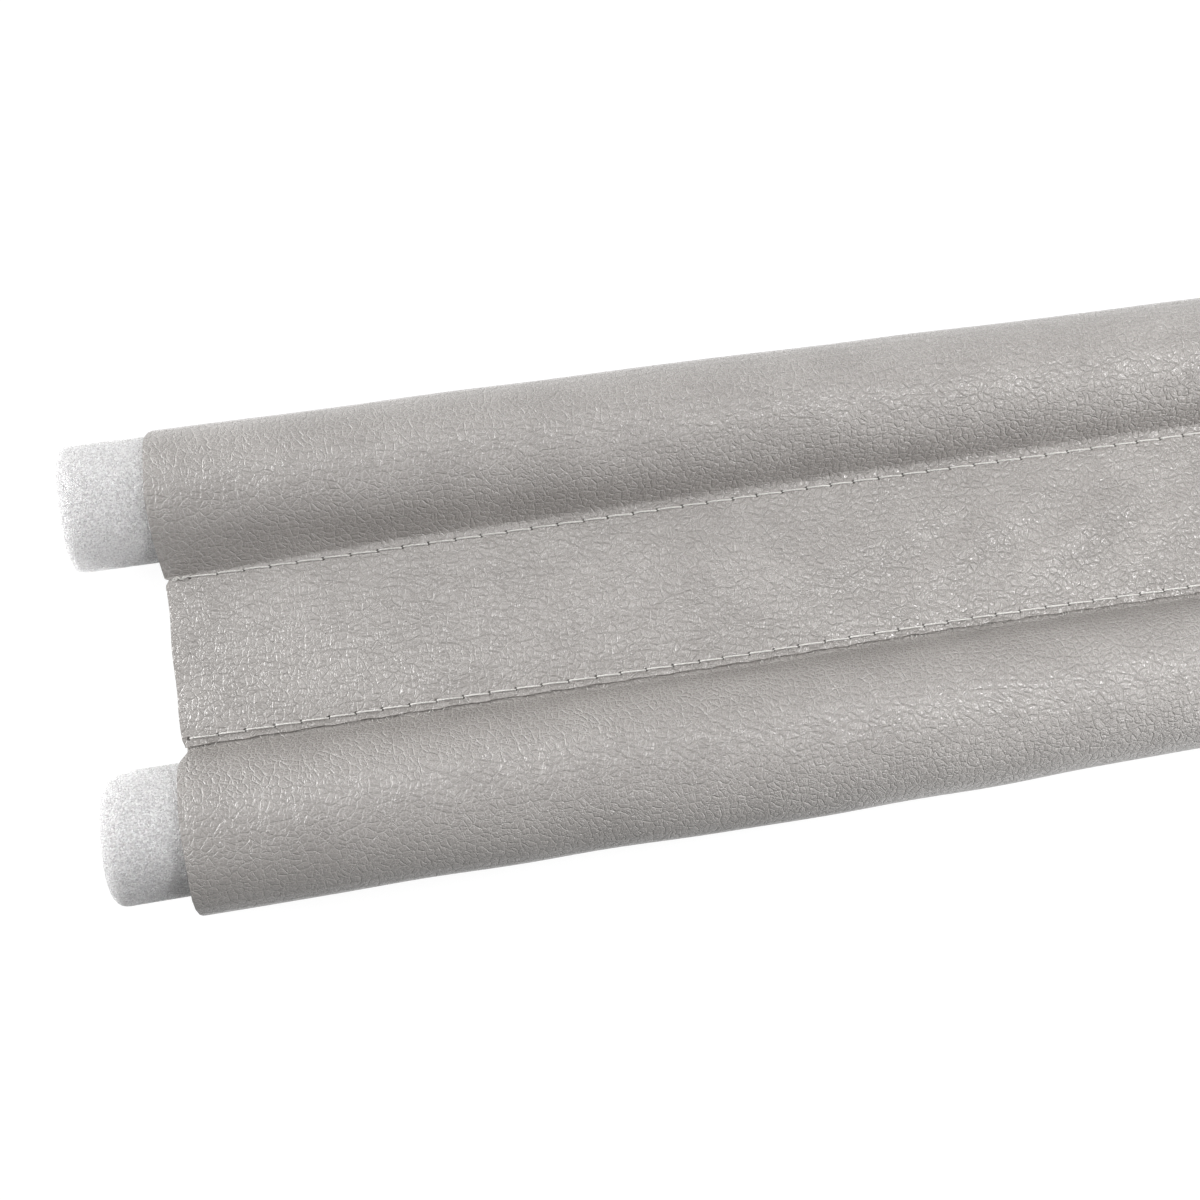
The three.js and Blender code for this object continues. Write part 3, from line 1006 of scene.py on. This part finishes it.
def studio_floor():
    """Plain white for those rays, apart from a faint shadow, and nearly black for all others."""
    finish = Finish("studio_floor")
    seen = Socket(finish, sees_white(finish.tree))
    matt = finish.node("ShaderNodeBsdfDiffuse", None,
                       {"Color": finish.mix(seen, (0.06, 0.06, 0.06, 1), (0.9, 0.9, 0.9, 1))})
    white = finish.node("ShaderNodeEmission", None, {"Color": (1, 1, 1, 1), "Strength": WHITE})
    return finish.surface(finish.node("ShaderNodeMixShader", None,
                                      {0: seen * (1 - SHADOW_KEPT), 1: matt, 2: white}))


corners = np.array([[-1, -1, 0], [1, -1, 0], [1, 1, 0], [-1, 1, 0]]) * FLOOR_HALF
floor = make_piece("floor", corners, [[0, 1, 2, 3]])
floor.data.materials.append(studio_floor())

world = bpy.data.worlds.new("studio")
bpy.context.scene.world = world
world.use_nodes = True
sky = world.node_tree.nodes["Background"]
sky.inputs["Color"].default_value = (1, 1, 1, 1)
world.node_tree.links.new(sees_white(world.node_tree), sky.inputs["Strength"])
print("floor", 2 * FLOOR_HALF * MM, "m wide")

# %% [markdown]
# ## Lamps
# Soft square lamps stand round and above the guard. Each has a direction as an azimuth from +X and a
# height angle, both in degrees, a distance and a size in millimetres, and a power in watts. The
# strongest one grazes the guard from the left and a little from behind, so the flanks that face the
# front stay dark, and two weaker ones on the right keep the far part of the tubes from getting too
# dark. Two single lamps are smaller: one brightens the ends of the rods, and one above gives both tubes
# a highlight on the right. Four glowing sheets face up from the floor and stand for light from white
# paper: two behind the guard, which give the rear tube its pale rim, one in front and one under the
# ends of the rods.

# %% Lamps
LAMP_CENTRE = np.array([-280.0, 0.0, 20.0])
LAMPS = {  # azimuth, height angle, distance, size, watts
    "left_low": (160, 8, 1500, 600, 23.0),
    "back_high": (90, 60, 1500, 600, 2.0),
    "left_middle": (166, 24, 1500, 600, 11.6),
    "left_high": (130, 60, 1500, 600, 2.5),
    "top": (90, 80, 1500, 600, 4.0),
    "right_low": (344, 10, 900, 590, 2.6),
    "right_front": (319, 18, 950, 440, 2.5),
}
SINGLE_LAMPS = {  # place, target, size, watts
    "rod_ends": ((-560, 20, 50), (-460, 0, 16), (60, 160), 0.02),
    "above_right": ((-40, -50, 380), (-230, 0, 18), (100, 100), 1.42),
}
GLOWS = {  # place, size, watts
    "floor_behind": ((-250, 400, 3), (1400, 500), 3.0),
    "floor_back": ((-250, 107, 1), (900, 86), 0.12),
    "floor_front": ((-120, -90, 1), (340, 50), 0.03),
    "floor_left": ((-504, 8, 0.6), (76, 100), 0.035),
}


def add_lamp(name, place, target, size, watts):
    """A soft square or rectangular lamp at a place, turned towards a target."""
    lamp = bpy.data.lights.new(name, "AREA")
    lamp.shape = "RECTANGLE"
    lamp.size, lamp.size_y = size[0] * MM, size[1] * MM
    lamp.energy = watts
    lit = bpy.data.objects.new(name, lamp)
    lit.location = [float(v) * MM for v in place]
    aim = lit.location.copy()
    aim.x, aim.y, aim.z = (float(t) * MM - p for t, p in zip(target, lit.location))
    lit.rotation_euler = aim.to_track_quat("-Z", "Y").to_euler()
    lit.visible_camera = False
    bpy.context.collection.objects.link(lit)


for name, (azimuth, height, distance, size, watts) in LAMPS.items():
    turn, rise = np.radians([azimuth, height])
    way = np.array([np.cos(rise) * np.cos(turn), np.cos(rise) * np.sin(turn), np.sin(rise)])
    add_lamp(name, LAMP_CENTRE + distance * way, LAMP_CENTRE, (size, size), watts)
for name, (place, target, size, watts) in SINGLE_LAMPS.items():
    add_lamp(name, place, target, size, watts)
for name, ((x, y, z), size, watts) in GLOWS.items():
    add_lamp(name, (x, y, z), (x, y, z + 1000), size, watts)
bpy.context.scene.view_settings.view_transform = "Standard"
print("lamps", [*LAMPS, *SINGLE_LAMPS, *GLOWS])

# %% [markdown]
# ## Riding and replacing
# Every piece moves with the one body. The cover, the rods and the threads stand for the plain solids
# that they replace, and the knot and the lint are additions.

# %% Riding and replacing
stand_for = {cover: ["cover"], rear_foam: ["foam_rod_rear"], front_foam: ["foam_rod_front"]}
stand_for.update({piece: [node] for node, piece in threads.items()})
for piece in [*stand_for, knot, edge_lint]:
    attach(piece, "root")
for piece, nodes in stand_for.items():
    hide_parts(*nodes)
